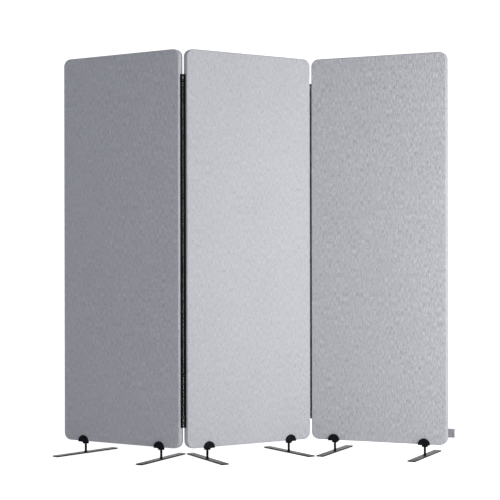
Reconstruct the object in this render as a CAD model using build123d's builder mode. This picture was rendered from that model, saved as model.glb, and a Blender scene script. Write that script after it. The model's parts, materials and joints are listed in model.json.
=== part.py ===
"""Folding partition wall: three fabric-covered panels joined edge to edge by two separating zips.

Each panel stands on two clamped feet. Millimetres, +Z up, +X along the run of the wall, +Y away
from its front. The origin is on the floor, in the middle of the wall's bounding box.
"""

from build123d import *
import os
from math import cos, radians, sin, sqrt

os.makedirs("parts", exist_ok=True)

# Panels: 24 by 66 inches
panel_width = 609.6
panel_height = 1676.4
panel_thickness = 32.0
panel_corner_radius = 32.0
panel_rounding = 5.0  # where each face turns into the edge
fabric_thickness = 1.2
seam_from_face = 2.6  # the covers wrap the rounding as far as this seam

# How the wall stands: the direction each panel runs in, in degrees about +Z
panel_angles = {"left": -29.8, "middle": 30.5, "right": -21.5}

# Zips
tape_thickness = 1.0
tape_hem = 6.5  # lies flat on the panel's edge band, from the middle towards the front
tape_bottom_above_panel = 87.0
tape_top_below_panel = 106.0
tape_reach = 4.7  # from a panel's edge to the line that the tape bends on
flex_to_chain_centre = 5.0
flex_gap = 1.0  # bare strip of tape left for the bend
coil_width = 3.2
coil_thickness = 2.6
coil_rounding = 1.0
chain_slit = 1.4  # between the two coils, for the slider's post
box_width = 9.0
box_height = 10.0
box_thickness = 3.5
pin_radius = 0.9
pin_length = 9.0
stop_height = 4.0
stop_wall = 0.3

# Slider and pull tab
slider_above_panel = 121.0  # its lower end, with the zip closed
slider_height = 16.0
slider_plate = 1.6
slider_clearance = 0.3
slider_flange = 0.8
slider_post_width = 0.8
slider_post_height = 4.0
slider_corner = 2.0
bridge_width = 2.6
bridge_height = 9.0
bridge_wall = 1.2
bridge_rounding = 1.5
bridge_drop = 1.0  # from the slider's middle down to the bridge's
tab_width = 7.0
tab_thickness = 1.6
tab_length = 35.0
tab_window_length = 8.0
tab_window_clearance = 0.4
tab_turning_clearance = 0.1  # round the corners of the bar that turns in the bridge
tab_hole_radius = 2.0
tab_hole_from_end = 6.0
tab_end_radius = 2.5
box_clearance = 0.5

# Feet
bar_length = 342.0
bar_width = 34.0
bar_thickness = 5.0
bar_corner = 3.0
bar_chamfer = 0.5
floor_pad_length = 26.0
floor_pad_width = 20.0
floor_pad_thickness = 1.2
floor_pad_corner = 5.0
floor_pad_from_end = 20.0
stem_radius = 5.0
stem_visible = 36.0
stem_in_clamp = 8.0
stem_collar_radius = 7.0
stem_collar_height = 5.0
stem_collar_rim = 1.25
base_screw_radius = 3.0
base_screw_head_radius = 5.5
base_screw_head_height = 2.5
base_screw_length = 14.0
base_screw_socket_radius = 1.8
base_screw_socket_depth = 1.4
foot_inset = 98.0  # the least distance from a folded side edge to a foot's middle
outer_foot_insets = {"left": 107.0, "right": 100.0}  # from the wall's two free side edges
bar_gap = 4.0  # least distance between two neighbouring bars
foot_turns = {"left_outer": -12.5, "left_inner": 2.0, "middle_left": -2.0}
foot_turns |= {"middle_right": 4.0, "right_inner": -4.0, "right_outer": -5.0}

# Clamps
jaw_radius = 26.0
front_jaw_drop = 3.0  # how far each half-moon reaches below the panel's lower edge
rear_jaw_drop = 0.0
front_jaw_thickness = 6.0
rear_jaw_thickness = 8.0
jaw_rounding = 2.5
boss_radius = 13.5  # round the stem's socket
boss_height = 12.0
boss_rounding = 1.5
strap_width = 12.0  # runs under the panel from jaw to jaw
strap_thickness = 4.0
screw_above_panel = 12.5
pad_radius = 9.0
pad_thickness = 5.0
pad_recess_depth = 3.0
pad_travel = 3.0
pad_clearance = 0.2
pad_back_room = 0.8
screw_radius = 4.0
screw_tip_radius = 3.0
running_clearance = 0.05
tip_clearance = 0.1
knob_radius = 11.0
knob_thickness = 9.0
knob_gap = 1.0
knob_lobes = 6
knob_scallop_radius = 4.0
knob_scallop_depth = 1.6
knob_rounding = 1.0

# Side tag on the right panel's outer edge
tag_reach = 27.0
tag_height = 38.0
tag_thickness = 1.6
tag_above_panel = 31.0

half_width = panel_width / 2
half_thickness = panel_thickness / 2
panel_bottom = floor_pad_thickness + bar_thickness + stem_visible + boss_height
panel_top = panel_bottom + panel_height


class Station:
    """A place on the plan and the direction that a piece runs in there."""

    def __init__(self, x, y, angle):
        self.x = x
        self.y = y
        self.angle = angle
        self.run = (cos(radians(angle)), sin(radians(angle)), 0)
        self.front = (sin(radians(angle)), -cos(radians(angle)), 0)

    def point(self, along=0.0, behind=0.0, height=0.0):
        """A point that far along the run, behind the centre plane and above the floor."""
        x = self.x + along * self.run[0] - behind * self.front[0]
        y = self.y + along * self.run[1] - behind * self.front[1]
        return (x, y, height)

    def at(self, along=0.0, behind=0.0, turn=0.0):
        """Another station beside this one."""
        x, y, _ = self.point(along, behind)
        return Station(x, y, self.angle + turn)

    def level(self, along=0.0, behind=0.0, height=0.0):
        """A horizontal plane: its X runs along, its Y to the rear."""
        return Plane(origin=self.point(along, behind, height), x_dir=self.run, z_dir=(0, 0, 1))

    def upright(self, along=0.0, behind=0.0, height=0.0):
        """A vertical plane facing the front: its X runs along, its Y up."""
        return Plane(origin=self.point(along, behind, height), x_dir=self.run, z_dir=self.front)

    def crosswise(self, along=0.0, behind=0.0, height=0.0):
        """A vertical plane facing along the run: its X points to the rear, its Y up."""
        rear = tuple(-c for c in self.front)
        return Plane(origin=self.point(along, behind, height), x_dir=rear, z_dir=self.run)


def neighbour(panel, panel_side, angle):
    """The zip and the panel beyond it, on one side (-1 or 1) of a panel: two stations."""
    chain_angle = (panel.angle + angle) / 2
    flex = panel.at(panel_side * (half_width + tape_reach), turn=chain_angle - panel.angle)
    chain = flex.at(panel_side * flex_to_chain_centre)
    far_flex = chain.at(panel_side * flex_to_chain_centre, turn=angle - chain_angle)
    return chain, far_flex.at(panel_side * (half_width + tape_reach))


middle = Station(0, 0, panel_angles["middle"])
left_chain, left = neighbour(middle, -1, panel_angles["left"])
right_chain, right = neighbour(middle, 1, panel_angles["right"])
panels = {"left": left, "middle": middle, "right": right}
chains = {"left_zip": left_chain, "right_zip": right_chain}


def inset_beside(fold, turn_away):
    """A foot's distance from a folded edge, where its bar just clears the next panel's bar."""
    half_fold = radians(abs(fold) / 2)
    turn = radians(turn_away)
    reach_back = bar_length / 2 * cos(turn) + bar_width / 2 * sin(turn)
    reach_aside = bar_width / 2 * cos(turn) - bar_length / 2 * sin(turn)
    room = bar_gap / 2 - flex_to_chain_centre + reach_back * sin(half_fold)
    return max(foot_inset, room / cos(half_fold) - tape_reach + reach_aside)


left_fold = panel_angles["middle"] - panel_angles["left"]
right_fold = panel_angles["middle"] - panel_angles["right"]
left_joint_inset = inset_beside(left_fold, foot_turns["left_inner"])
right_joint_inset = inset_beside(right_fold, foot_turns["right_inner"])

feet = {
    "left_outer": left.at(outer_foot_insets["left"] - half_width),
    "left_inner": left.at(half_width - left_joint_inset),
    "middle_left": middle.at(left_joint_inset - half_width),
    "middle_right": middle.at(half_width - right_joint_inset),
    "right_inner": right.at(right_joint_inset - half_width),
    "right_outer": right.at(half_width - outer_foot_insets["right"]),
}

pieces = {}


def keep(name, builder):
    """Puts a finished piece in the list of pieces."""
    pieces[name] = builder.part


# ---------------------------------------------------------------- panels


def panel_form(panel, inward):
    """The panel's rounded outer form, drawn in by the same amount on every side."""
    with BuildPart() as form:
        with BuildSketch(
            panel.upright(behind=half_thickness - inward, height=panel_bottom + panel_height / 2)
        ):
            RectangleRounded(
                panel_width - 2 * inward,
                panel_height - 2 * inward,
                panel_corner_radius - inward,
            )
        extrude(amount=panel_thickness - 2 * inward)
        faces = form.faces().sort_by(SortBy.AREA)[-2:]
        fillet(faces.edges(), radius=panel_rounding - inward)
    return form


def build_panel(side, panel):
    """Core board, two covers and the edge band that the covers are sewn to."""
    outer = panel_form(panel, 0)
    core = panel_form(panel, fabric_thickness)
    keep(f"{side}_panel_core", core)
    seam = half_thickness - seam_from_face
    with BuildPart() as front_cover:
        add(outer)
        add(core, mode=Mode.SUBTRACT)
        split(bisect_by=panel.upright(behind=-seam), keep=Keep.TOP)
    keep(f"{side}_front_cover", front_cover)
    with BuildPart() as rear_cover:
        add(outer)
        add(core, mode=Mode.SUBTRACT)
        split(bisect_by=panel.upright(behind=seam), keep=Keep.BOTTOM)
    keep(f"{side}_rear_cover", rear_cover)
    with BuildPart() as edge_band:
        add(outer)
        add(core, mode=Mode.SUBTRACT)
        split(bisect_by=panel.upright(behind=-seam), keep=Keep.BOTTOM)
        split(bisect_by=panel.upright(behind=seam), keep=Keep.TOP)
    keep(f"{side}_edge_band", edge_band)


def build_tag():
    """The folded tag in the rear seam of the right panel's outer edge."""
    seam = half_thickness - seam_from_face
    sunk = panel_rounding
    with BuildPart() as side_tag:
        with BuildSketch(
            right.level(half_width + (tag_reach - sunk) / 2, seam, panel_bottom + tag_above_panel)
        ):
            Rectangle(tag_reach + sunk, tag_thickness)
        extrude(amount=tag_height)
        add(panel_form(right, 0), mode=Mode.SUBTRACT)
    keep("side_tag", side_tag)


for side, panel in panels.items():
    build_panel(side, panel)
build_tag()


# ---------------------------------------------------------------- zips

tape_bottom = panel_bottom + tape_bottom_above_panel
tape_top = panel_top - tape_top_below_panel
slider_bottom = panel_bottom + slider_above_panel
coil_bottom = slider_bottom - slider_clearance
box_bottom = tape_top - box_height
coil_top = box_bottom - pin_length
coil_centre = chain_slit / 2 + coil_width / 2
chain_edge = flex_to_chain_centre - flex_gap / 2
slider_travel = box_bottom - box_clearance - slider_height - slider_bottom


def build_tapes(name, panel, sides):
    """The outer part of a zip's tape: a hem on the panel's edge and a strip out to the bend."""
    width = tape_reach - flex_gap / 2
    with BuildPart() as tapes:
        for panel_side in sides:
            with BuildSketch(panel.level(panel_side * half_width, 0, tape_bottom)):
                with Locations((panel_side * width / 2, 0)):
                    Rectangle(width, tape_thickness)
                with Locations((panel_side * tape_thickness / 2, -tape_hem / 2)):
                    Rectangle(tape_thickness, tape_hem)
            extrude(amount=tape_top - tape_bottom)
    keep(name, tapes)


def build_chain(name, chain):
    """Both rows of coils, each on the inner edge of its tape, and the fittings at their ends."""
    tape_inner = chain_slit / 2 + stop_wall
    tape_width = chain_edge - tape_inner
    tape_centre = tape_inner + tape_width / 2
    with BuildPart() as coils:
        for way in (-1, 1):
            with BuildSketch(chain.level(way * tape_centre, 0, tape_bottom)):
                Rectangle(tape_width, tape_thickness)
            extrude(amount=coil_top - tape_bottom)
            with BuildSketch(chain.level(way * coil_centre, 0, coil_bottom)):
                RectangleRounded(coil_width, coil_thickness, coil_rounding)
            extrude(amount=coil_top - coil_bottom)
    keep(f"{name}_coils", coils)

    with BuildPart() as fittings:
        with BuildSketch(chain.level(0, 0, box_bottom)):
            RectangleRounded(box_width, box_thickness, coil_rounding)
        extrude(amount=box_height)
        for way in (-1, 1):
            with BuildSketch(chain.level(way * coil_centre, 0, coil_top)):
                Circle(pin_radius)
            extrude(amount=pin_length)
            with BuildSketch(chain.level(way * coil_centre, 0, coil_bottom - stop_height)):
                RectangleRounded(coil_width, coil_thickness, coil_rounding)
                with Locations((way * (tape_centre - coil_centre), 0)):
                    Rectangle(tape_width, tape_thickness, mode=Mode.SUBTRACT)
            extrude(amount=stop_height)
    keep(f"{name}_end_fittings", fittings)


inner_half = coil_thickness / 2 + slider_clearance
outer_half = inner_half + slider_plate
slider_half_width = chain_edge + slider_clearance
flange_inner = slider_half_width - slider_flange
flange_reach = inner_half - tape_thickness / 2 - slider_clearance
bridge_gap = sqrt(2) * tab_thickness + 2 * tab_turning_clearance
tab_axis_out = outer_half + bridge_gap / 2
bridge_bottom = slider_bottom + (slider_height - bridge_height) / 2 - bridge_drop
tab_axis_height = bridge_bottom + bridge_wall + bridge_gap / 2


def build_slider(name, chain):
    """Two flanged plates joined by a post, with a bridge in front that holds the pull tab."""
    with BuildPart() as slider:
        for way in (-1, 1):
            plate_centre = way * (inner_half + slider_plate / 2)
            with BuildSketch(chain.upright(0, plate_centre, slider_bottom + slider_height / 2)):
                RectangleRounded(2 * slider_half_width, slider_height, slider_corner)
            extrude(amount=slider_plate / 2, both=True)
            flange_centre = way * (inner_half - flange_reach / 2)
            for edge in (-1, 1):
                along = edge * (flange_inner + slider_flange / 2)
                with BuildSketch(
                    chain.upright(along, flange_centre, slider_bottom + slider_height / 2)
                ):
                    Rectangle(slider_flange, slider_height - 2 * slider_corner)
                extrude(amount=flange_reach / 2, both=True)
        with BuildSketch(chain.level(0, 0, slider_bottom + slider_clearance)):
            Rectangle(slider_post_width, 2 * inner_half)
        extrude(amount=slider_post_height)
        bridge_out = bridge_gap + bridge_wall
        bridge_centre = -(outer_half + bridge_out / 2)
        with BuildSketch(
            chain.crosswise(0, bridge_centre, bridge_bottom + bridge_height / 2)
        ) as bridge:
            Rectangle(bridge_out, bridge_height)
            fillet(bridge.vertices().group_by(Axis.X)[0], radius=bridge_rounding)
            with Locations((bridge_wall / 2, 0)):
                Rectangle(bridge_gap, bridge_height - 2 * bridge_wall, mode=Mode.SUBTRACT)
        extrude(amount=bridge_width / 2, both=True)
    keep(f"{name}_slider", slider)


def build_pull_tab(name, chain):
    """A flat tab with a window, whose upper bar lies in the slider's bridge, and a round hole."""
    top = tab_axis_height + tab_thickness / 2
    window_width = bridge_width + 2 * tab_window_clearance
    with BuildPart() as tab:
        with BuildSketch(chain.upright(0, -tab_axis_out, top)):
            with Locations((0, -tab_length / 2)):
                Rectangle(tab_width, tab_length)
            with Locations((0, -tab_thickness - tab_window_length / 2)):
                Rectangle(window_width, tab_window_length, mode=Mode.SUBTRACT)
            with Locations((0, tab_hole_from_end - tab_length)):
                Circle(tab_hole_radius, mode=Mode.SUBTRACT)
        extrude(amount=tab_thickness / 2, both=True)
        lower_corners = tab.edges().filter_by(Axis(origin=(0, 0, 0), direction=chain.front))
        fillet(lower_corners.group_by(Axis.Z)[0], radius=tab_end_radius)
    keep(f"{name}_pull_tab", tab)


build_tapes("left_panel_zip_tape", left, [1])
build_tapes("middle_panel_zip_tapes", middle, [-1, 1])
build_tapes("right_panel_zip_tape", right, [-1])
for name, chain in chains.items():
    build_chain(name, chain)
    build_slider(name, chain)
    build_pull_tab(name, chain)


# ---------------------------------------------------------------- feet

bar_bottom = floor_pad_thickness
bar_top = bar_bottom + bar_thickness
boss_bottom = panel_bottom - boss_height
screw_height = panel_bottom + screw_above_panel
pad_front = half_thickness + pad_clearance
pad_back = pad_front + pad_thickness
rear_jaw_front = pad_back + pad_travel + pad_back_room
rear_jaw_back = rear_jaw_front + rear_jaw_thickness
knob_front = rear_jaw_back + knob_gap
front_jaw_front = half_thickness + front_jaw_thickness


def half_moon(drop):
    """A half disc above its flat edge, which lies that far below the panel's lower edge."""
    Circle(jaw_radius)
    with Locations((0, -drop - jaw_radius)):
        Rectangle(2 * jaw_radius, 2 * jaw_radius, mode=Mode.SUBTRACT)


def build_floor_bar(foot, station):
    """Flat steel bar, countersunk from below for the screw that holds the stem."""
    with BuildPart() as bar:
        with BuildSketch(station.level(height=bar_bottom)):
            RectangleRounded(bar_width, bar_length, bar_corner)
        extrude(amount=bar_thickness)
        chamfer(bar.faces().sort_by(Axis.Z)[-1].edges(), length=bar_chamfer)
        with BuildSketch(station.upright(height=bar_bottom)):
            with BuildLine():
                Polyline(
                    (0, 0),
                    (base_screw_head_radius + tip_clearance, 0),
                    (base_screw_radius + tip_clearance, base_screw_head_height),
                    (base_screw_radius + tip_clearance, bar_thickness),
                    (0, bar_thickness),
                    close=True,
                )
            make_face()
        revolve(axis=Axis(station.point(), (0, 0, 1)), mode=Mode.SUBTRACT)
    keep(f"{foot}_floor_bar", bar)


def build_stem(foot, station):
    """Round stem with a flared collar on the bar, hollow below for the screw."""
    top = boss_bottom + stem_in_clamp
    bore_top = bar_bottom + base_screw_length + tip_clearance
    with BuildPart() as stem:
        with BuildSketch(station.upright()):
            with BuildLine():
                Polyline(
                    (base_screw_radius + tip_clearance, bar_top),
                    (stem_collar_radius, bar_top),
                    (stem_collar_radius, bar_top + stem_collar_rim),
                    (stem_radius, bar_top + stem_collar_height),
                    (stem_radius, top),
                    (0, top),
                    (0, bore_top),
                    (base_screw_radius + tip_clearance, bore_top),
                    close=True,
                )
            make_face()
        revolve(axis=Axis(station.point(), (0, 0, 1)))
    keep(f"{foot}_stem", stem)


def build_clamp_body(foot, station):
    """Two half-moon jaws on a strap, with a round boss for the stem, bored for the screw."""
    depth = front_jaw_front + rear_jaw_back
    with BuildPart() as body:
        with BuildSketch(station.level(height=boss_bottom)):
            Circle(boss_radius)
        extrude(amount=boss_height)
        fillet(body.edges().group_by(Axis.Z)[0], radius=boss_rounding)
        with BuildSketch(station.level(0, (rear_jaw_back - front_jaw_front) / 2, panel_bottom)):
            Rectangle(strap_width, depth)
        extrude(amount=-strap_thickness)
        with BuildSketch(station.upright(0, -half_thickness, panel_bottom)):
            half_moon(front_jaw_drop)
        extrude(amount=front_jaw_thickness)
        with BuildSketch(station.upright(0, rear_jaw_back, panel_bottom)):
            half_moon(rear_jaw_drop)
        extrude(amount=rear_jaw_thickness)
        outer_faces = body.faces().filter_by(Axis(origin=(0, 0, 0), direction=station.front))
        outer_faces = outer_faces.sort_by(Axis(origin=station.point(), direction=station.front))
        rims = outer_faces[0].edges() + outer_faces[-1].edges()
        fillet(rims.filter_by(GeomType.CIRCLE), radius=jaw_rounding)
        with BuildSketch(station.level(height=boss_bottom)):
            Circle(stem_radius + running_clearance)
        extrude(amount=stem_in_clamp + tip_clearance, mode=Mode.SUBTRACT)
        with BuildSketch(station.upright(0, rear_jaw_back, screw_height)):
            Circle(screw_radius + running_clearance)
        extrude(amount=rear_jaw_thickness, mode=Mode.SUBTRACT)
    keep(f"{foot}_clamp_body", body)


def build_pressure_pad(foot, station):
    """Round pad that the screw's tip presses on the panel's rear cover."""
    with BuildPart() as pad:
        with BuildSketch(station.upright(0, pad_back, screw_height)):
            Circle(pad_radius)
        extrude(amount=pad_thickness)
        with BuildSketch(station.upright(0, pad_back, screw_height)):
            Circle(screw_tip_radius + tip_clearance)
        extrude(amount=pad_recess_depth, mode=Mode.SUBTRACT)
    keep(f"{foot}_pressure_pad", pad)


def build_clamp_screw(foot, station):
    """Screw with a lobed knob behind the rear jaw and a plain tip in the pad."""
    tip = pad_back - pad_recess_depth + tip_clearance
    shoulder = pad_back + tip_clearance
    knob_back = knob_front + knob_thickness
    with BuildPart() as screw:
        with BuildSketch(station.upright(0, knob_back, screw_height)):
            Circle(knob_radius)
            with PolarLocations(
                knob_radius + knob_scallop_radius - knob_scallop_depth, knob_lobes
            ):
                Circle(knob_scallop_radius, mode=Mode.SUBTRACT)
        extrude(amount=knob_thickness)
        faces = screw.faces().filter_by(Axis(origin=(0, 0, 0), direction=station.front))
        fillet(faces.edges(), radius=knob_rounding)
        with BuildSketch(station.upright(0, knob_front, screw_height)):
            Circle(screw_radius)
        extrude(amount=knob_front - shoulder)
        with BuildSketch(station.upright(0, shoulder, screw_height)):
            Circle(screw_tip_radius)
        extrude(amount=shoulder - tip)
    keep(f"{foot}_clamp_screw", screw)


def build_base_screws(side, stations):
    """The countersunk screws under a panel's two bars."""
    with BuildPart() as screws:
        for station in stations:
            with BuildSketch(station.upright(height=bar_bottom)):
                with BuildLine():
                    Polyline(
                        (0, 0),
                        (base_screw_head_radius, 0),
                        (base_screw_radius, base_screw_head_height),
                        (base_screw_radius, base_screw_length),
                        (0, base_screw_length),
                        close=True,
                    )
                make_face()
            revolve(axis=Axis(station.point(), (0, 0, 1)))
            with BuildSketch(station.level(height=bar_bottom)):
                RegularPolygon(base_screw_socket_radius, 6)
            extrude(amount=base_screw_socket_depth, mode=Mode.SUBTRACT)
    keep(f"{side}_foot_base_screws", screws)


def build_floor_pads(side, stations):
    """Thin rubber pads under both ends of a panel's two bars."""
    reach = bar_length / 2 - floor_pad_from_end
    with BuildPart() as pads:
        for station in stations:
            for way in (-1, 1):
                with BuildSketch(station.level(0, way * reach)):
                    RectangleRounded(floor_pad_width, floor_pad_length, floor_pad_corner)
                extrude(amount=floor_pad_thickness)
    keep(f"{side}_floor_pads", pads)


bars = {foot: station.at(turn=foot_turns[foot]) for foot, station in feet.items()}
for foot, station in feet.items():
    build_floor_bar(foot, bars[foot])
    build_stem(foot, station)
    build_clamp_body(foot, station)
    build_pressure_pad(foot, station)
    build_clamp_screw(foot, station)
for side in panels:
    stations = [station for foot, station in bars.items() if foot.startswith(side)]
    build_base_screws(side, stations)
    build_floor_pads(side, stations)


# ---------------------------------------------------------------- the whole wall

boxes = [piece.bounding_box() for piece in pieces.values()]
centre_x = (min(box.min.X for box in boxes) + max(box.max.X for box in boxes)) / 2
centre_y = (min(box.min.Y for box in boxes) + max(box.max.Y for box in boxes)) / 2
to_origin = Location((-centre_x, -centre_y, 0))
for name, piece in pieces.items():
    placed = piece.moved(to_origin)
    placed.label = name
    export_step(placed, f"parts/{name}.step")
print(f"{len(pieces)} pieces, slider travel {slider_travel:.1f} mm")
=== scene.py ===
"""Looks of the folding partition wall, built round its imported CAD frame. Metres, +Z up."""

import json
import math

import bpy
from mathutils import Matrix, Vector, noise


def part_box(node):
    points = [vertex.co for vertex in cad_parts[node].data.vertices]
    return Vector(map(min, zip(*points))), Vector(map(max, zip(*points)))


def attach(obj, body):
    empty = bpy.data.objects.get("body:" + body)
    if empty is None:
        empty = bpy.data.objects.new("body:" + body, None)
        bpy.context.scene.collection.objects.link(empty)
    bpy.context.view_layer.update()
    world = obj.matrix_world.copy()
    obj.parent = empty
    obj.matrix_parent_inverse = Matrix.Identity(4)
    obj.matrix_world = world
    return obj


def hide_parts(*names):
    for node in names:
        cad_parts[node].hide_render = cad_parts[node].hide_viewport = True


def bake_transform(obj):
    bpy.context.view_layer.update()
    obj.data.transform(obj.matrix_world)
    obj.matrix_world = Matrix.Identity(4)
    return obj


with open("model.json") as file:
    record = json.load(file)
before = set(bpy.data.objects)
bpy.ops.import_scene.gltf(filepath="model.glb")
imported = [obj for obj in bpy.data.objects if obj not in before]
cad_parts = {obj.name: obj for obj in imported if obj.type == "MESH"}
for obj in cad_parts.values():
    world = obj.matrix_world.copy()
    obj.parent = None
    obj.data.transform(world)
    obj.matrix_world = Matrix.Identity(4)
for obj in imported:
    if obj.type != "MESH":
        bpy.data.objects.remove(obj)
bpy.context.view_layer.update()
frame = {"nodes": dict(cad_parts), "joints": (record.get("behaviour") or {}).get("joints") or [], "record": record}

joints = {j["name"]: j for j in frame["joints"]}
UP = Vector((0, 0, 1))
MM = 0.001

# Sizes that the frame's boxes don't give
panel_corner_radius = 32 * MM
panel_rounding = 5 * MM
fabric_thickness = 1.0 * MM
tape_thickness = 0.7 * MM
tape_hem = 6.5 * MM  # lies flat on the panel's edge, from the middle towards the front
hem_stands_off = 0.8 * MM
tape_from_middle = 0.45 * MM
tape_bend = 1.4 * MM
tag_thickness = 0.35 * MM
tag_half_gap = 0.55 * MM
tag_lean = 1.6 * MM
tag_sway = 0.5 * MM
tag_sways = 160  # radians a metre

# How the cloth lies, and how finely it is drawn
seam_dip = 0.45 * MM
crown = 0.5 * MM
pucker = 0.12 * MM
slow_waves = (3.0, 1.6)  # a metre, across and up
seam_ripples = 60  # a metre
band_ripples = (22, 40)  # a metre, along and across
grid_step = 14 * MM
band_step = 4 * MM
tape_step = 8 * MM
tag_step = 2.5 * MM
corner_steps = 9

SIDES = ("left", "middle", "right")
ZIPS = {"left_zip": ("middle", "left"), "right_zip": ("middle", "right")}
FEET = {
    "left_outer": "left",
    "left_inner": "left",
    "middle_left": "middle",
    "middle_right": "middle",
    "right_inner": "right",
    "right_outer": "right",
}


# ---------------------------------------------------------------- shader nodes


def node(tree, kind, inputs=None, **settings):
    """A new shader node; an input given as a socket is linked, any other is set."""
    made = tree.nodes.new(kind)
    for key, value in settings.items():
        setattr(made, key, value)
    for key, value in (inputs or {}).items():
        if isinstance(value, bpy.types.NodeSocket):
            tree.links.new(value, made.inputs[key])
        else:
            made.inputs[key].default_value = value
    return made


def math_node(tree, operation, a, b=0.0):
    """The output of a math node on one or two terms."""
    return node(tree, "ShaderNodeMath", {0: a, 1: b}, operation=operation).outputs[0]


def start_material(name, roughness, **values):
    """A material's tree and its shader, with the values that are the same all over set on it."""
    made = bpy.data.materials.new(name)
    made.use_nodes = True
    shader = made.node_tree.nodes["Principled BSDF"]
    shader.inputs["Roughness"].default_value = roughness
    for key, value in values.items():
        shader.inputs[key.replace("_", " ")].default_value = value
    return made, made.node_tree, shader


# ---------------------------------------------------------------- camera, light and floor


def build_camera():
    """A long lens at half height, level but for a slight roll, a little right of the middle."""
    data = bpy.data.cameras.new("camera")
    data.lens = 92.4
    data.sensor_width = 36.0
    data.shift_x = -0.0369
    data.shift_y = 0.0212
    camera = bpy.data.objects.new("camera", data)
    camera.location = (0.068, -5.544, 0.842)
    camera.rotation_euler = (math.radians(90), math.radians(0.1), 0)
    bpy.context.scene.collection.objects.link(camera)
    bpy.context.scene.camera = camera


def build_light(name, place, aim, size, power):
    """A square soft light."""
    data = bpy.data.lights.new(name, "AREA")
    data.shape = "SQUARE"
    data.size = size
    data.energy = power
    lamp = bpy.data.objects.new(name, data)
    lamp.location = place
    lamp.rotation_euler = (Vector(aim) - Vector(place)).to_track_quat("-Z", "Y").to_euler()
    bpy.context.scene.collection.objects.link(lamp)


def build_studio():
    """A white world, a key light at the right and a weaker fill from the front, left of the middle.

    Only reflections and the camera see the world at its full strength; diffuse light from it is
    weaker and a little blue.
    """
    full_strength = 1.15
    diffuse_strength = 0.30
    blue_white = (0.90, 0.93, 1.09, 1)
    scene = bpy.context.scene
    scene.view_settings.view_transform = "Standard"
    world = bpy.data.worlds.new("studio")
    world.use_nodes = True
    scene.world = world
    tree = world.node_tree
    background = tree.nodes["Background"]
    diffuse = node(tree, "ShaderNodeLightPath").outputs["Is Diffuse Ray"]
    tint = node(
        tree,
        "ShaderNodeMix",
        {"Factor": diffuse, "A": (1, 1, 1, 1), "B": blue_white},
        data_type="RGBA",
    )
    tree.links.new(tint.outputs["Result"], background.inputs["Color"])
    dim = node(
        tree,
        "ShaderNodeMapRange",
        {"Value": diffuse, "To Min": full_strength, "To Max": diffuse_strength},
    )
    tree.links.new(dim.outputs["Result"], background.inputs["Strength"])
    build_light("key", place=(2.35, -1.95, 1.1), aim=(0.1, 0.0, 0.9), size=1.2, power=65)
    build_light("fill", place=(-1.7, -5.6, 1.0), aim=(0.0, 0.0, 0.9), size=1.6, power=40)


def build_floor():
    """A pale floor that glows a little in the camera's eye, so that only a faint shadow shows."""
    reach = 14.0
    pale = (0.82, 0.82, 0.82, 1)
    glow_strength = 0.86
    mesh = bpy.data.meshes.new("floor")
    corners = [(-reach, -reach, 0), (reach, -reach, 0), (reach, reach, 0), (-reach, reach, 0)]
    mesh.from_pydata(corners, [], [(0, 1, 2, 3)])
    floor = bpy.data.objects.new("floor", mesh)
    bpy.context.scene.collection.objects.link(floor)
    made, tree, shader = start_material("floor", 0.9)
    shader.inputs["Base Color"].default_value = pale
    seen = node(tree, "ShaderNodeLightPath").outputs["Is Camera Ray"]
    strength = math_node(tree, "MULTIPLY", seen, glow_strength)
    glow = node(tree, "ShaderNodeEmission", {"Strength": strength})
    both = node(
        tree, "ShaderNodeAddShader", {0: shader.outputs["BSDF"], 1: glow.outputs["Emission"]}
    )
    tree.links.new(both.outputs["Shader"], tree.nodes["Material Output"].inputs["Surface"])
    mesh.materials.append(made)


# ---------------------------------------------------------------- materials


def stretched_noise(tree, vector, scale, detail=2.0):
    """Noise whose grain is 1/scale metres along each axis, from 0 to 1."""
    mapped = node(tree, "ShaderNodeMapping", {"Vector": vector, "Scale": scale})
    made = node(
        tree,
        "ShaderNodeTexNoise",
        {"Vector": mapped.outputs["Vector"], "Scale": 1.0, "Detail": detail, "Roughness": 0.55},
    )
    return made.outputs["Fac"]


def ramp(tree, value, stops):
    """A colour ramp from (place, colour) pairs."""
    made = node(tree, "ShaderNodeValToRGB", {"Fac": value})
    elements = made.color_ramp.elements
    while len(elements) < len(stops):
        elements.new(0.5)
    for element, (place, colour) in zip(elements, stops):
        element.position = place
        element.color = (*colour, 1)
    return made.outputs["Color"]


def weave_height(tree, vector, pitch):
    """Over-and-under of a plain weave, from -1 to 1."""
    parts = node(tree, "ShaderNodeSeparateXYZ", {"Vector": vector})
    turn = 2 * math.pi / pitch
    across = math_node(tree, "SINE", math_node(tree, "MULTIPLY", parts.outputs["X"], turn))
    along = math_node(tree, "SINE", math_node(tree, "MULTIPLY", parts.outputs["Y"], turn))
    return math_node(tree, "MULTIPLY", across, along)


def add_bump(tree, shader, height, strength, distance):
    """A bump node, linked to the shader."""
    made = node(
        tree,
        "ShaderNodeBump",
        {"Strength": strength, "Distance": distance, "Height": height},
    )
    tree.links.new(made.outputs["Normal"], shader.inputs["Normal"])
    return made


def lumpy_normal(tree, vector, scale, strength):
    """The surface's normal tipped a little this way and that, as slubs in the yarn tip it."""
    mapped = node(tree, "ShaderNodeMapping", {"Vector": vector, "Scale": scale})
    lumps = node(tree, "ShaderNodeTexNoise", {"Vector": mapped.outputs["Vector"], "Scale": 1.0})
    centred = node(
        tree,
        "ShaderNodeVectorMath",
        {0: lumps.outputs["Color"], 1: (0.5, 0.5, 0.5)},
        operation="SUBTRACT",
    )
    tipped = node(
        tree,
        "ShaderNodeVectorMath",
        {
            0: centred.outputs[0],
            1: (strength, strength, strength),
            2: node(tree, "ShaderNodeNewGeometry").outputs["Normal"],
        },
        operation="MULTIPLY_ADD",
    )
    return node(
        tree, "ShaderNodeVectorMath", {0: tipped.outputs[0]}, operation="NORMALIZE"
    ).outputs[0]


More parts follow.
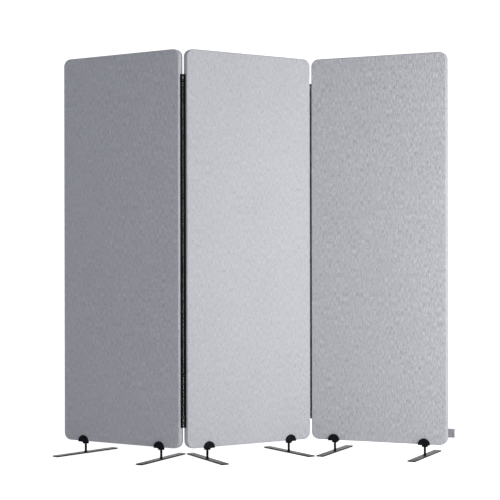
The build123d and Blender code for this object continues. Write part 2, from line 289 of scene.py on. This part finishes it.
def linen_material(name, light, dark):
    """Heathered linen-look cloth: slubs both ways, longer streaks upright, and dark flecks.

    Each noise has its grain along the weave's two directions, and each share is its weight.
    """
    made, tree, shader = start_material(
        name, 0.92, Sheen_Weight=0.18, Sheen_Roughness=0.5, Specular_IOR_Level=0.2
    )
    uv = node(tree, "ShaderNodeUVMap", uv_map="weave").outputs["UV"]
    slub_grain = (240, 48, 1)
    slub_tip = 0.95
    fleck_depth = 0.4
    fleck_shade = 0.55
    warp = stretched_noise(tree, uv, (900, 60, 1))
    weft = stretched_noise(tree, uv, (70, 800, 1))
    streaks = stretched_noise(tree, uv, slub_grain)
    cross = stretched_noise(tree, uv, (60, 250, 1))
    clouds = stretched_noise(tree, uv, (7, 4, 1), 1.0)
    flecks = stretched_noise(tree, uv, (230, 120, 1), 1.0)
    total = math_node(tree, "MULTIPLY", warp, 0.16)
    for value, share in ((weft, 0.10), (streaks, 0.44), (cross, 0.24), (clouds, 0.06)):
        total = math_node(tree, "ADD", total, math_node(tree, "MULTIPLY", value, share))
    medium = tuple((a + b) / 2 for a, b in zip(light, dark))
    base = ramp(tree, total, [(0.36, dark), (0.50, medium), (0.64, light)])
    fleck = node(
        tree,
        "ShaderNodeMapRange",
        {"Value": flecks, "From Min": 0.62, "From Max": 0.72, "To Max": fleck_depth},
    ).outputs["Result"]
    mixed = node(
        tree,
        "ShaderNodeMix",
        {"Factor": fleck, "A": base, "B": (*(c * fleck_shade for c in dark), 1)},
        data_type="RGBA",
    )
    tree.links.new(mixed.outputs["Result"], shader.inputs["Base Color"])
    rough = node(
        tree,
        "ShaderNodeMapRange",
        {"Value": warp, "To Min": 0.84, "To Max": 0.98},
    )
    tree.links.new(rough.outputs["Result"], shader.inputs["Roughness"])
    height = weave_height(tree, uv, 1.9 * MM)
    for value, share in ((warp, 1.6), (weft, 1.2)):
        height = math_node(tree, "ADD", height, math_node(tree, "MULTIPLY", value, share))
    fine = add_bump(tree, shader, height, 0.35, 0.25 * MM)
    tree.links.new(lumpy_normal(tree, uv, slub_grain, slub_tip), fine.inputs["Normal"])
    return made


def tape_material():
    """Black woven tape with a fine upright rib."""
    made, tree, shader = start_material(
        "zip_tape_weave", 0.85, Sheen_Weight=0.03, Specular_IOR_Level=0.08
    )
    uv = node(tree, "ShaderNodeUVMap", uv_map="weave").outputs["UV"]
    yarn = stretched_noise(tree, uv, (1500, 220, 1))
    shade = ramp(tree, yarn, [(0.3, (0.004, 0.004, 0.005)), (0.7, (0.012, 0.012, 0.015))])
    tree.links.new(shade, shader.inputs["Base Color"])
    ribs = math_node(tree, "MULTIPLY", yarn, 1.5)
    height = math_node(tree, "ADD", weave_height(tree, uv, 1.1 * MM), ribs)
    add_bump(tree, shader, height, 0.6, 0.2 * MM)
    return made


def grained_material(name, tones, roughness, grain, depth, **values):
    """A surface with a fine grain and a slow change of tone, placed by the row frame."""
    made, tree, shader = start_material(name, sum(roughness) / 2, **values)
    place = node(tree, "ShaderNodeTexCoord").outputs["Object"]
    slow = stretched_noise(tree, place, (38, 38, 38), 3.0)
    fine = stretched_noise(tree, place, (grain, grain, grain))
    slow_share = math_node(tree, "MULTIPLY", slow, 0.6)
    fine_share = math_node(tree, "MULTIPLY", fine, 0.4)
    blend = math_node(tree, "ADD", slow_share, fine_share)
    colour = ramp(tree, blend, [(0.35, tones[0]), (0.65, tones[1])])
    tree.links.new(colour, shader.inputs["Base Color"])
    rough = node(
        tree,
        "ShaderNodeMapRange",
        {
            "Value": slow,
            "From Min": 0.3,
            "From Max": 0.7,
            "To Min": roughness[0],
            "To Max": roughness[1],
        },
    )
    tree.links.new(rough.outputs["Result"], shader.inputs["Roughness"])
    add_bump(tree, shader, fine, 0.35, depth)
    return made


def build_materials():
    """Every material of the object, by the record's slot."""
    return {
        "linen_cover": linen_material(
            "linen_cloth", light=(0.595, 0.598, 0.615), dark=(0.445, 0.448, 0.463)
        ),
        "tag_fabric": linen_material(
            "tag_cloth", light=(0.36, 0.365, 0.38), dark=(0.19, 0.195, 0.205)
        ),
        "zip_tape": tape_material(),
        "panel_core": grained_material(
            "felt_board",
            tones=((0.42, 0.42, 0.43), (0.62, 0.62, 0.63)),
            roughness=(0.9, 1.0),
            grain=900,
            depth=0.4 * MM,
        ),
        "zip_coil": grained_material(
            "nylon_coil",
            tones=((0.006, 0.006, 0.008), (0.014, 0.014, 0.018)),
            roughness=(0.4, 0.55),
            grain=2500,
            depth=0.03 * MM,
            Specular_IOR_Level=0.12,
        ),
        "zip_fittings": grained_material(
            "moulded_fittings",
            tones=((0.010, 0.010, 0.012), (0.018, 0.018, 0.021)),
            roughness=(0.4, 0.55),
            grain=2200,
            depth=0.04 * MM,
            Specular_IOR_Level=0.2,
        ),
        "zip_metal": grained_material(
            "black_enamel",
            tones=((0.012, 0.012, 0.015), (0.022, 0.022, 0.026)),
            roughness=(0.22, 0.36),
            grain=1500,
            depth=0.03 * MM,
            Coat_Weight=0.3,
        ),
        "foot_steel": grained_material(
            "powder_coat",
            tones=((0.005, 0.005, 0.0055), (0.012, 0.012, 0.013)),
            roughness=(0.30, 0.40),
            grain=1300,
            depth=0.03 * MM,
            Specular_IOR_Level=0.14,
        ),
        "stem_steel": grained_material(
            "powder_coat_stem",
            tones=((0.003, 0.003, 0.0035), (0.008, 0.008, 0.009)),
            roughness=(0.5, 0.62),
            grain=1300,
            depth=0.05 * MM,
            Specular_IOR_Level=0.04,
        ),
        "clamp_plastic": grained_material(
            "moulded_nylon",
            tones=((0.004, 0.0045, 0.006), (0.011, 0.012, 0.014)),
            roughness=(0.55, 0.7),
            grain=1100,
            depth=0.12 * MM,
            Specular_IOR_Level=0.06,
        ),
        "knob_plastic": grained_material(
            "moulded_knob",
            tones=((0.016, 0.017, 0.020), (0.030, 0.031, 0.035)),
            roughness=(0.45, 0.6),
            grain=1400,
            depth=0.08 * MM,
        ),
        "pad_rubber": grained_material(
            "rubber",
            tones=((0.016, 0.016, 0.016), (0.030, 0.030, 0.030)),
            roughness=(0.75, 0.9),
            grain=1600,
            depth=0.1 * MM,
        ),
        "screw_steel": grained_material(
            "zinc_steel",
            tones=((0.42, 0.42, 0.43), (0.58, 0.58, 0.60)),
            roughness=(0.25, 0.4),
            grain=1800,
            depth=0.03 * MM,
            Metallic=1.0,
        ),
    }


# ---------------------------------------------------------------- places and meshes


class Station:
    """A place on the plan, the direction of the run there and the direction to the rear."""

    def __init__(self, origin, rear):
        self.origin = Vector((origin[0], origin[1], 0))
        self.rear = Vector(rear).normalized()
        self.run = Vector((self.rear.y, -self.rear.x, 0))

    def point(self, along=0.0, behind=0.0, height=0.0):
        """A point of the row frame, so far along the run, behind it and up."""
        return self.origin + self.run * along + self.rear * behind + UP * height


def extent(name, direction):
    """Lowest and highest reach of a CAD node along a direction."""
    reach = [v.co.dot(direction) for v in frame["nodes"][name].data.vertices]
    return min(reach), max(reach)


def steps_between(low, high, step):
    """Even places from low to high, about a step apart."""
    count = max(2, round((high - low) / step))
    return [low + (high - low) * i / count for i in range(count + 1)]


class Panel:
    """A panel's station and its sizes, all read from the frame."""

    def __init__(self, side):
        foot = next(f for f, s in FEET.items() if s == side)
        low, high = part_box(f"{side}_panel_core")
        self.side = side
        self.station = Station((low + high) / 2, joints[f"{foot}_pad_travel"]["axis"])
        low, high = extent(f"{side}_edge_band", self.station.run)
        self.width = high - low
        band = extent(f"{side}_edge_band", self.station.rear)
        front = extent(f"{side}_front_cover", self.station.rear)
        rear = extent(f"{side}_rear_cover", self.station.rear)
        self.thickness = rear[1] - front[0]
        self.seam_depth = (self.thickness - (band[1] - band[0])) / 2
        low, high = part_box(f"{side}_edge_band")
        self.height = high.z - low.z
        self.middle = (low.z + high.z) / 2
        straight_x = self.width / 2 - panel_corner_radius
        straight_y = self.height / 2 - panel_corner_radius
        self.xs = steps_between(-straight_x, straight_x, grid_step)
        self.ys = steps_between(-straight_y, straight_y, grid_step)


class Surface:
    """Vertices, faces and the weave's coordinates of a mesh being built."""

    def __init__(self):
        self.points = []
        self.weave = []
        self.faces = []

    def add(self, point, weave):
        """Adds a vertex and gives its number."""
        self.points.append(point)
        self.weave.append(weave)
        return len(self.points) - 1

    def strip(self, first, second, closed):
        """Faces between two rows of the same length."""
        count = len(first)
        for i in range(count if closed else count - 1):
            j = (i + 1) % count
            corners = [first[i], first[j], second[j], second[i]]
            corners = list(dict.fromkeys(corners))
            if len(corners) > 2:
                self.faces.append(corners)

    def finish(self, name, material, thickness=0.0, offset=-1.0):
        """The object; a thickness goes inward from the surface, or half each way at offset 0."""
        mesh = bpy.data.meshes.new(name)
        mesh.from_pydata([tuple(p) for p in self.points], [], self.faces)
        layer = mesh.uv_layers.new(name="weave")
        for loop in mesh.loops:
            layer.data[loop.index].uv = self.weave[loop.vertex_index]
        mesh.materials.append(material)
        made = bpy.data.objects.new(name, mesh)
        bpy.context.scene.collection.objects.link(made)
        if thickness:
            thick = made.modifiers.new("thickness", "SOLIDIFY")
            thick.thickness = thickness
            thick.offset = offset
            apply_modifiers(made)
        for polygon in made.data.polygons:
            polygon.use_smooth = True
        return made


def apply_modifiers(piece):
    """Replaces a piece's mesh by what its modifiers make of it."""
    bpy.context.view_layer.update()
    shown = piece.evaluated_get(bpy.context.evaluated_depsgraph_get())
    mesh = bpy.data.meshes.new_from_object(shown)
    piece.modifiers.clear()
    piece.data = mesh


# ---------------------------------------------------------------- fabric on the panels


def outline(panel, inset):
    """The panel's rounded outline drawn in by inset: (x, y, length along it), anticlockwise."""
    xs = panel.xs
    ys = panel.ys
    half_x = panel.width / 2 - inset
    half_y = panel.height / 2 - inset
    radius = panel_corner_radius - inset
    quarter = math.pi / 2 * panel_corner_radius
    points = []
    run = 0.0

    def corner(sign_x, sign_y, first):
        for i in range(1, corner_steps):
            turn = first + math.pi / 2 * i / corner_steps
            x = sign_x * xs[-1] + radius * math.cos(turn)
            y = sign_y * ys[-1] + radius * math.sin(turn)
            points.append((x, y, run + quarter * i / corner_steps))

    for x in xs:
        points.append((x, -half_y, run + x - xs[0]))
    run += xs[-1] - xs[0]
    corner(1, -1, -math.pi / 2)
    run += quarter
    for y in ys:
        points.append((half_x, y, run + y - ys[0]))
    run += ys[-1] - ys[0]
    corner(1, 1, 0)
    run += quarter
    for x in reversed(xs):
        points.append((x, half_y, run + xs[-1] - x))
    run += xs[-1] - xs[0]
    corner(-1, 1, math.pi / 2)
    run += quarter
    for y in reversed(ys):
        points.append((-half_x, y, run + ys[-1] - y))
    run += ys[-1] - ys[0]
    corner(-1, -1, math.pi)
    return points


def rounded_edge(panel, last, steps):
    """(inset, depth) round the panel's edge, from the seam, drawn in a little, to the turn last."""
    first = math.asin((panel_rounding - panel.seam_depth) / panel_rounding)
    profile = []
    for i in range(steps + 1):
        turn = first + (last - first) * i / steps
        inset = panel_rounding * (1 - math.cos(turn))
        depth = panel_rounding * (1 - math.sin(turn))
        profile.append((inset, depth))
    inset, depth = profile[0]
    profile[0] = (inset + seam_dip * math.cos(first), depth + seam_dip * math.sin(first))
    return profile


def face_height(panel, x, y, salt):
    """How far the stretched cloth stands off the flat face: a slight crown and slow waves."""
    across = 1 - abs(2 * x / panel.width) ** 4
    upward = 1 - abs(2 * y / panel.height) ** 8
    wave = noise.noise(Vector((x * slow_waves[0], y * slow_waves[1], salt)))
    return max(0.0, across) * max(0.0, upward) * (crown + pucker * wave)


def build_cover(panel, way, material):
    """A cover of one cloth: stretched over a face (way -1 front, 1 rear) and round to the seam."""
    name = f"{panel.side}_{'front' if way < 0 else 'rear'}_cover"
    salt = SIDES.index(panel.side) * 7.3 + way  # makes each cover's cloth differ
    surface = Surface()

    def place(x, y, depth):
        spot = Vector((x * seam_ripples, y * seam_ripples, salt))
        ripple = pucker * noise.noise(spot) if depth > 0 else 0.0
        lift = face_height(panel, x, y, salt)
        behind = way * (panel.thickness / 2 - depth + lift + ripple)
        point = panel.station.point(x, behind, panel.middle + y)
        return surface.add(point, (x + salt, y))

    rows = []
    profile = rounded_edge(panel, math.pi / 2, 5)
    profile += [(panel_corner_radius * share, 0.0) for share in (0.24, 0.38, 0.58, 0.8)]
    for inset, depth in profile:
        rows.append([place(x, y, depth) for x, y, _ in outline(panel, inset)])
    for outer, inner in zip(rows, rows[1:]):
        surface.strip(outer, inner, True)

    grid = [[place(x, y, 0.0) for x in panel.xs] for y in panel.ys]
    for lower, upper in zip(grid, grid[1:]):
        surface.strip(lower, upper, False)
    # The grid's rim, with each corner repeated to meet the rounded corner's points
    rim = list(grid[0]) + [grid[0][-1]] * (corner_steps - 1)
    rim += [row[-1] for row in grid] + [grid[-1][-1]] * (corner_steps - 1)
    rim += list(reversed(grid[-1])) + [grid[-1][0]] * (corner_steps - 1)
    rim += [row[0] for row in reversed(grid)] + [grid[0][0]] * (corner_steps - 1)
    surface.strip(rows[-1], rim, True)
    if way > 0:
        surface.faces = [list(reversed(face)) for face in surface.faces]
    piece = surface.finish(f"{name}_cloth", material, fabric_thickness)
    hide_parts(name)
    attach(piece, f"{panel.side}_panel")


def build_band(panel, material):
    """The strip of cloth round the panel's edge, from the front seam to the rear seam."""
    arc = rounded_edge(panel, 0.0, 4)
    flat = steps_between(panel_rounding, panel.thickness - panel_rounding, band_step)[1:-1]
    profile = arc + [(0.0, depth) for depth in flat]
    profile += [(inset, panel.thickness - depth) for inset, depth in reversed(arc)]
    surface = Surface()
    rows = []
    salt = 31.0 + SIDES.index(panel.side) * 3.7  # makes each band's cloth differ
    for inset, depth in profile:
        row = []
        for x, y, run in outline(panel, inset):
            loose = 1 - abs(2 * depth / panel.thickness - 1) ** 4
            spot = Vector((run * band_ripples[0], depth * band_ripples[1], salt))
            proud = loose * pucker * (1 + noise.noise(spot))
            scale = 1 + proud / (panel.width / 2)
            behind = depth - panel.thickness / 2
            point = panel.station.point(x * scale, behind, panel.middle + y)
            row.append(surface.add(point, (run + salt, depth)))
        rows.append(row)
    for outer, inner in zip(rows, rows[1:]):
        surface.strip(inner, outer, True)
    name = f"{panel.side}_edge_band"
    piece = surface.finish(f"{name}_cloth", material, fabric_thickness)
    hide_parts(name)
    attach(piece, f"{panel.side}_panel")


# ---------------------------------------------------------------- zips


class Zip:
    """A zip's chain station, its flex lines and its heights, read from the frame."""

    def __init__(self, name):
        swing = Vector(joints[f"{name}_pull_tab_swing"]["axis"])
        run = -swing
        near = Vector(joints[f"{name}_fold"]["pos_m"])
        far = Vector(joints[f"{ZIPS[name][1]}_panel_fold"]["pos_m"])
        self.name = name
        self.station = Station((near + far) / 2, (-run.y, run.x, 0))
        self.flex = (far - near).length / 2
        low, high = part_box(f"{name}_coils")
        self.tape_bottom = low.z
        self.coil_top = high.z
        self.tape_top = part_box(f"{name}_end_fittings")[1].z
        self.coil_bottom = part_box(f"{name}_slider")[0].z


def build_tape(chain, panel, material):
    """A woven tape: its hem flat on the panel's edge, then out to its flex line and the coils."""
    toward = 1 if (panel.station.origin - chain.station.origin).dot(chain.station.run) > 0 else -1
    edge = panel.station.point(-toward * panel.width / 2)
    flex = chain.station.point(toward * chain.flex)
    inner = chain.station.point(toward * tape_from_middle)
    proud = edge + (flex - edge).normalized() * hem_stands_off
    line = [proud - panel.station.rear * tape_hem * share for share in (1.0, 0.7, 0.4, 0.15)]
    line += [edge.lerp(flex, share) for share in (0.25, 0.4, 0.55)]
    before = flex + (edge - flex).normalized() * tape_bend
    after = flex + (inner - flex).normalized() * tape_bend
    for i in range(5):
        share = i / 4
        line.append(before.lerp(flex, share).lerp(flex.lerp(after, share), share))
    line += [after.lerp(inner, share) for share in (0.5, 1.0)]
    lengths = [0.0]
    for a, b in zip(line, line[1:]):
        lengths.append(lengths[-1] + (b - a).length)
    surface = Surface()
    columns = []
    for height in steps_between(chain.tape_bottom, chain.tape_top, tape_step):
        row = []
        for place, across in zip(line, lengths):
            row.append(surface.add(place + UP * height, (across, height)))
        columns.append(row)
    for lower, upper in zip(columns, columns[1:]):
        surface.strip(lower, upper, False)
    piece = surface.finish(
        f"{panel.side}_side_tape_of_{chain.name}", material, tape_thickness, offset=0.0
    )
    plural = "s" if panel.side == "middle" else ""
    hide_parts(f"{panel.side}_panel_zip_tape{plural}")
    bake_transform(piece)


tooth_pitch = 2.0 * MM
tooth_rings = (  # (distance out from the chain's middle, half height, half depth) in mm, head first
    (-0.32, 0.10, 0.55),
    (-0.20, 0.40, 0.95),
    (0.45, 0.44, 1.10),
    (1.30, 0.78, 1.28),
    (2.20, 0.62, 1.12),
    (3.40, 0.66, 1.20),
    (3.85, 0.30, 0.80),
)
tooth_sides = 8


def build_teeth(chain, material):
    """Both rows of coil, as one loop of nylon after another, half a pitch apart."""
    surface = Surface()
    height = chain.coil_bottom
    rows = int((chain.coil_top - height) / tooth_pitch) - 1
    for way in (-1, 1):
        for row in range(rows):
            middle = height + tooth_pitch * (row + 0.75 + 0.25 * way)
            rings = []
            for out, half_up, half_deep in tooth_rings:
                ring = []
                for i in range(tooth_sides):
                    turn = 2 * math.pi * i / tooth_sides
                    deep = half_deep * MM * math.cos(turn)
                    up = half_up * MM * math.sin(turn)
                    point = chain.station.point(way * out * MM, deep, middle + up)
                    ring.append(surface.add(point, (out * MM, middle + up)))
                rings.append(ring)
            for a, b in zip(rings, rings[1:]):
                if way > 0:
                    surface.strip(a, b, True)
                else:
                    surface.strip(b, a, True)
            surface.faces.append(rings[0] if way < 0 else rings[0][::-1])
            surface.faces.append(rings[-1][::-1] if way < 0 else rings[-1])
    piece = surface.finish(f"{chain.name}_teeth", material)
    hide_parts(f"{chain.name}_coils")
    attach(piece, f"{chain.name}_chain")


# ---------------------------------------------------------------- tag


def build_tag(panel, material):
    """A strip of cloth folded double, both ends caught in the rear seam, splayed a little."""
    low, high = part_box("side_tag")
    reach = extent("side_tag", panel.station.run)[1] - panel.station.origin.dot(panel.station.run)
    behind = sum(extent("side_tag", panel.station.rear)) / 2
    behind -= panel.station.origin.dot(panel.station.rear)
    start = panel.width / 2 - 0.6 * MM
    surface = Surface()
    columns = []
    half_gap = tag_half_gap
    steps = 14
    loop = []
    for i in range(steps + 1):
        share = i / steps
        loop.append((start + (reach - start - half_gap) * share, -half_gap * (0.3 + 0.7 * share)))
    for i in range(1, 6):
        turn = -math.pi / 2 + math.pi * i / 6
        loop.append((reach - half_gap + half_gap * math.cos(turn), half_gap * math.sin(turn)))
    for i in range(steps + 1):
        share = 1 - i / steps
        loop.append((start + (reach - start - half_gap) * share, half_gap * (0.3 + 0.7 * share)))
    run = [0.0]
    for a, b in zip(loop, loop[1:]):
        run.append(run[-1] + math.dist(a, b))
    for height in steps_between(low.z, high.z, tag_step):
        lean = (height - low.z) / (high.z - low.z) - 0.5
        row = []
        for (along, out), distance in zip(loop, run):
            share = (along - start) / (reach - start)
            sway = share * share * (tag_lean * lean + tag_sway * math.sin(height * tag_sways))
            point = panel.station.point(along, behind + out + sway, height)
            row.append(surface.add(point, (distance, height)))
        columns.append(row)
    for lower, upper in zip(columns, columns[1:]):
        surface.strip(lower, upper, False)
    piece = surface.finish("side_tag_cloth", material, tag_thickness, offset=0.0)
    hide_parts("side_tag")
    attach(piece, f"{panel.side}_panel")


# ---------------------------------------------------------------- the whole wall


def paint_frame(materials):
    """Gives each CAD node that shows the material of its slot."""
    slots = {s["node"]: s["material_slot"] for s in frame["record"]["subparts"]}
    for name, piece in frame["nodes"].items():
        piece.data.materials.clear()
        piece.data.materials.append(materials[slots[name]])


build_camera()
build_studio()
build_floor()
materials = build_materials()
paint_frame(materials)
panels = {side: Panel(side) for side in SIDES}
for panel in panels.values():
    build_cover(panel, -1, materials["linen_cover"])
    build_cover(panel, 1, materials["linen_cover"])
    build_band(panel, materials["linen_cover"])
for name, sides in ZIPS.items():
    chain = Zip(name)
    for side in sides:
        build_tape(chain, panels[side], materials["zip_tape"])
    build_teeth(chain, materials["zip_coil"])
build_tag(panels["right"], materials["tag_fabric"])
